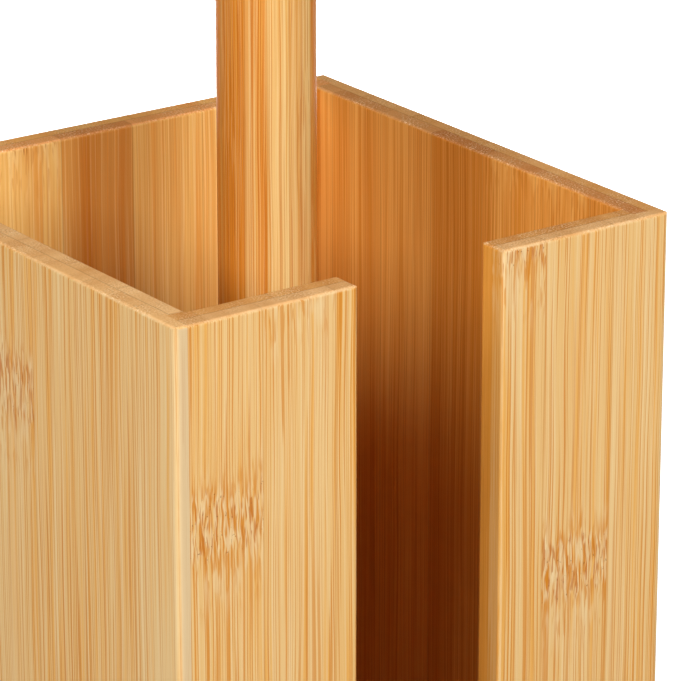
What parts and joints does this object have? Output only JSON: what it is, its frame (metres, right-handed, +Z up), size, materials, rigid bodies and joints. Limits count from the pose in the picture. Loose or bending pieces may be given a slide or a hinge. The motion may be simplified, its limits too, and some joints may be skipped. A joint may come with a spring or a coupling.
{
  "type": "toilet paper stand",
  "caption": "Free-standing bamboo toilet paper stand: a square open box with a slotted front for spare rolls, a round pole rising from it, and a plug-in arm for the roll in use.",
  "frame": {"origin": "on the floor under the middle of the square box; the pole's axis is 4 mm to the +X side of it", "axes": "+Z up along the pole, -Y out of the slotted front, +X along the roll arm to its free end"},
  "size_m": [0.2235, 0.17, 0.66],
  "materials": {
    "bamboo_board": "satin clear lacquer over laminated bamboo, upright fibres",
    "bamboo_rod": "satin clear lacquer over a turned rod of glued-up bamboo",
    "zinc_plated_steel": "bright zinc plating",
    "zinc_alloy": "plain die casting"
  },
  "bodies": {
    "stand": {"base_plate": "bamboo_board", "left_side_panel": "bamboo_board", "right_side_panel": "bamboo_board", "back_panel": "bamboo_board", "front_left_panel": "bamboo_board", "front_right_panel": "bamboo_board", "base_screws": "zinc_plated_steel", "pole": "bamboo_rod", "pole_insert": "zinc_alloy", "pole_washer": "zinc_plated_steel", "pole_bolt": "zinc_plated_steel"},
    "arm": {"roll_arm": "bamboo_rod"}
  },
  "joints": [
    {"name": "arm_pull", "type": "slide", "parent": "stand", "child": "arm", "axis": [1, 0, 0], "range_m": [0, 0.03]}
  ]
}
